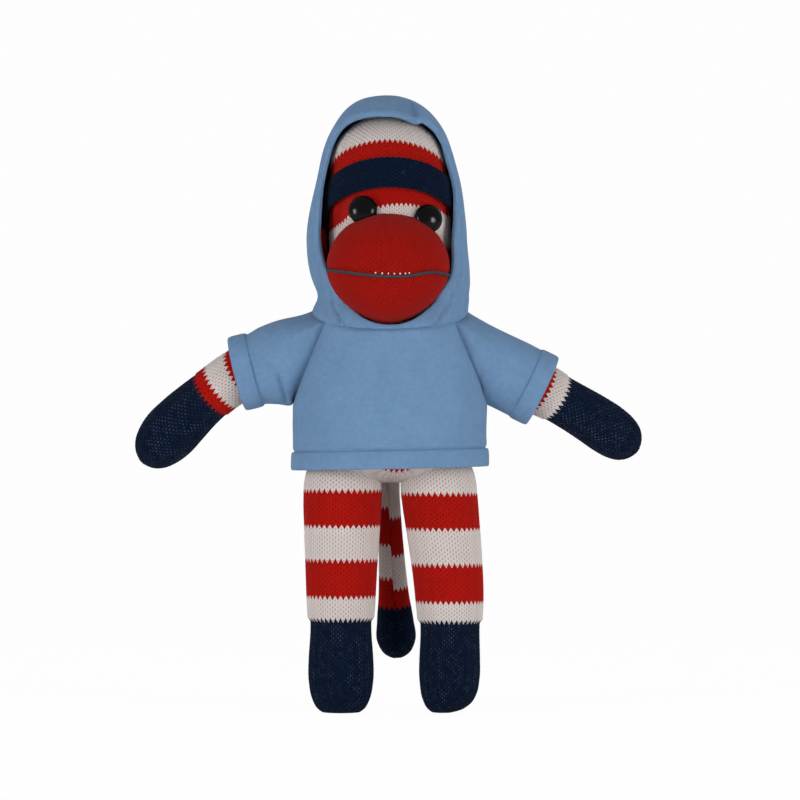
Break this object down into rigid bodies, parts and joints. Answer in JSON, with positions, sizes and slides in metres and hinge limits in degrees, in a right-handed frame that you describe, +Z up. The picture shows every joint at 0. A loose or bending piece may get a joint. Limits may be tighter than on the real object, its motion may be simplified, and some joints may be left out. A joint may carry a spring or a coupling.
{
  "type": "sock monkey doll",
  "caption": "Stuffed sock monkey doll in a hooded fleece jacket, with floppy arms, legs, tail and head, that stands on its two flat soles.",
  "frame": {"origin": "on the floor, under the middle of the doll's box", "axes": "+Z up; -Y is the way the doll faces; +X is the right of a viewer who faces the doll"},
  "size_m": [0.2266, 0.0964, 0.2745],
  "materials": {
    "striped_knit": "stockinette sock knit in red and white bands with a navy toe",
    "white_knit": "stockinette sock knit, white",
    "red_knit": "stockinette sock knit, red",
    "navy_knit": "stockinette sock knit, navy",
    "blue_fleece": "brushed polyester fleece, light blue",
    "stuffing": "polyester fibre filling",
    "black_plastic": "polished black dome",
    "white_plastic": "moulded",
    "navy_yarn": "twisted yarn"
  },
  "bodies": {
    "torso": {"torso_skin": "striped_knit", "torso_filling": "stuffing", "neck_tie": "navy_yarn", "hoodie_body": "blue_fleece", "hoodie_hem": "blue_fleece"},
    "neck": {"neck_wad": "stuffing"},
    "head": {"head_skin": "white_knit", "head_filling": "stuffing", "muzzle_skin": "red_knit", "muzzle_filling": "stuffing", "mouth_stitch": "navy_yarn", "left_eye": "black_plastic", "left_eye_washer": "white_plastic", "right_eye": "black_plastic", "right_eye_washer": "white_plastic", "left_ear": "red_knit", "right_ear": "red_knit", "hat_crown": "white_knit", "hat_cuff": "navy_knit", "hood_left_panel": "blue_fleece", "hood_right_panel": "blue_fleece", "hood_hem": "blue_fleece"},
    "left_shoulder": {"left_shoulder_wad": "stuffing"},
    "left_arm": {"left_arm_skin": "navy_knit", "left_arm_filling": "stuffing", "left_sleeve": "blue_fleece", "left_cuff": "blue_fleece"},
    "right_shoulder": {"right_shoulder_wad": "stuffing"},
    "right_arm": {"right_arm_skin": "navy_knit", "right_arm_filling": "stuffing", "right_sleeve": "blue_fleece", "right_cuff": "blue_fleece"},
    "left_hip": {"left_hip_wad": "stuffing"},
    "left_leg": {"left_leg_skin": "striped_knit", "left_leg_filling": "stuffing"},
    "right_hip": {"right_hip_wad": "stuffing"},
    "right_leg": {"right_leg_skin": "striped_knit", "right_leg_filling": "stuffing"},
    "tail_root": {"tail_wad": "stuffing"},
    "tail": {"tail_skin": "striped_knit", "tail_filling": "stuffing"}
  },
  "joints": [
    {"name": "neck_nod", "type": "hinge", "parent": "torso", "child": "neck", "pos_m": [0, 0.002, 0.1715], "axis": [-1, 0, 0], "range_deg": [0, 15], "stiffness_Nm_per_rad": 0.3, "deforming": ["hood_left_panel", "hood_right_panel", "hood_hem"]},
    {"name": "neck_turn", "type": "hinge", "parent": "neck", "child": "head", "pos_m": [0, 0.002, 0.1715], "axis": [0, 0, 1], "range_deg": [-30, 30], "stiffness_Nm_per_rad": 0.1, "deforming": ["hood_left_panel", "hood_right_panel", "hood_hem"]},
    {"name": "left_arm_raise", "type": "hinge", "parent": "torso", "child": "left_shoulder", "pos_m": [-0.04, 0, 0.1598], "axis": [0, 1, 0], "range_deg": [-25, 70], "stiffness_Nm_per_rad": 0.08, "deforming": ["left_sleeve", "hoodie_body"]},
    {"name": "left_arm_swing", "type": "hinge", "parent": "left_shoulder", "child": "left_arm", "pos_m": [-0.04, 0, 0.1598], "axis": [-0.342, 0, 0.9397], "range_deg": [-35, 60], "stiffness_Nm_per_rad": 0.08, "deforming": ["left_sleeve", "hoodie_body"]},
    {"name": "right_arm_raise", "type": "hinge", "parent": "torso", "child": "right_shoulder", "pos_m": [0.04, 0, 0.1576], "axis": [0, -1, 0], "range_deg": [-25, 70], "stiffness_Nm_per_rad": 0.08, "deforming": ["right_sleeve", "hoodie_body"]},
    {"name": "right_arm_swing", "type": "hinge", "parent": "right_shoulder", "child": "right_arm", "pos_m": [0.04, 0, 0.1576], "axis": [-0.454, 0, -0.891], "range_deg": [-35, 60], "stiffness_Nm_per_rad": 0.08, "deforming": ["right_sleeve", "hoodie_body"]},
    {"name": "left_leg_splay", "type": "hinge", "parent": "torso", "child": "left_hip", "pos_m": [-0.021, 0, 0.101], "axis": [0, 1, 0], "range_deg": [-3, 25], "stiffness_Nm_per_rad": 0.25},
    {"name": "left_leg_sit", "type": "hinge", "parent": "left_hip", "child": "left_leg", "pos_m": [-0.021, 0, 0.101], "axis": [-1, 0, 0], "range_deg": [-10, 70], "stiffness_Nm_per_rad": 0.25, "deforming": ["hoodie_hem"]},
    {"name": "right_leg_splay", "type": "hinge", "parent": "torso", "child": "right_hip", "pos_m": [0.0215, 0, 0.101], "axis": [0, -1, 0], "range_deg": [-3, 25], "stiffness_Nm_per_rad": 0.25},
    {"name": "right_leg_sit", "type": "hinge", "parent": "right_hip", "child": "right_leg", "pos_m": [0.0215, 0, 0.101], "axis": [-1, 0, 0], "range_deg": [-10, 70], "stiffness_Nm_per_rad": 0.25, "deforming": ["hoodie_hem"]},
    {"name": "tail_lift", "type": "hinge", "parent": "torso", "child": "tail_root", "pos_m": [0, 0.0205, 0.1065], "axis": [1, 0, 0], "range_deg": [0, 80], "stiffness_Nm_per_rad": 0.01, "deforming": ["hoodie_hem"]},
    {"name": "tail_sway", "type": "hinge", "parent": "tail_root", "child": "tail", "pos_m": [0, 0.0205, 0.1065], "axis": [0, 1, 0], "range_deg": [-40, 40], "stiffness_Nm_per_rad": 0.01}
  ]
}
